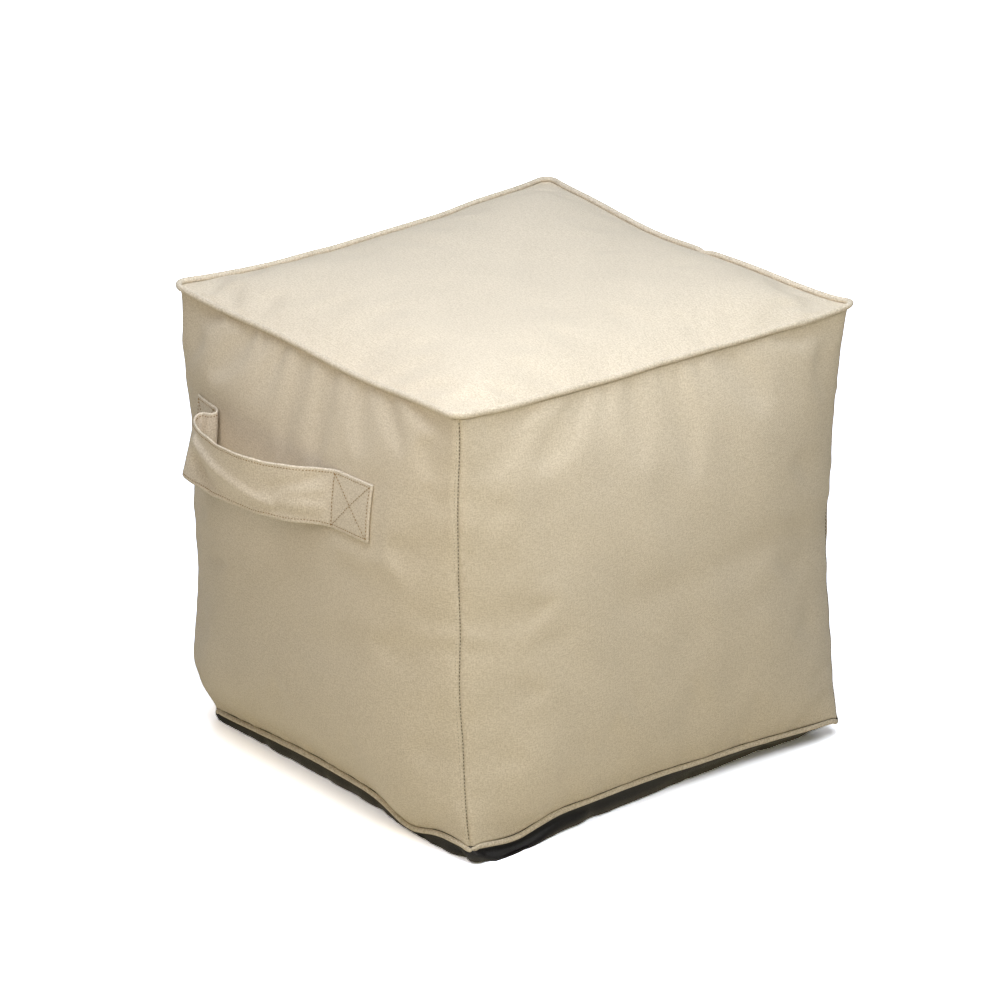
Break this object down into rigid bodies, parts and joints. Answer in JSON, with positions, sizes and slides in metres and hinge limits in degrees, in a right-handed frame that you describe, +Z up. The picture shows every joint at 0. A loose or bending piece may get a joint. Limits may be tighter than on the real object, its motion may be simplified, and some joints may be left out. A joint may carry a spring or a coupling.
{
  "type": "cube pouf stool",
  "caption": "Filled cloth cube pouf with crowned panels, piped top and base seams, a dark base panel and a carry strap on one face.",
  "frame": {"origin": "middle of the base's flat face, on the floor", "axes": "+Z up, +X towards the plain panel on the right of the strap, -Y towards the panel that carries the strap"},
  "size_m": [0.4474, 0.4891, 0.4146],
  "materials": {
    "cover_cloth": "fine satin twill, warm beige, matte with a soft sheen",
    "base_cloth": "plain woven nylon, near black, slightly glossy"
  },
  "bodies": {
    "root": {"pouf_body": "cover_cloth", "top_panel": "cover_cloth", "top_piping": "cover_cloth", "base_piping": "cover_cloth", "handle_strap": "cover_cloth", "base_panel": "base_cloth"}
  },
  "joints": []
}
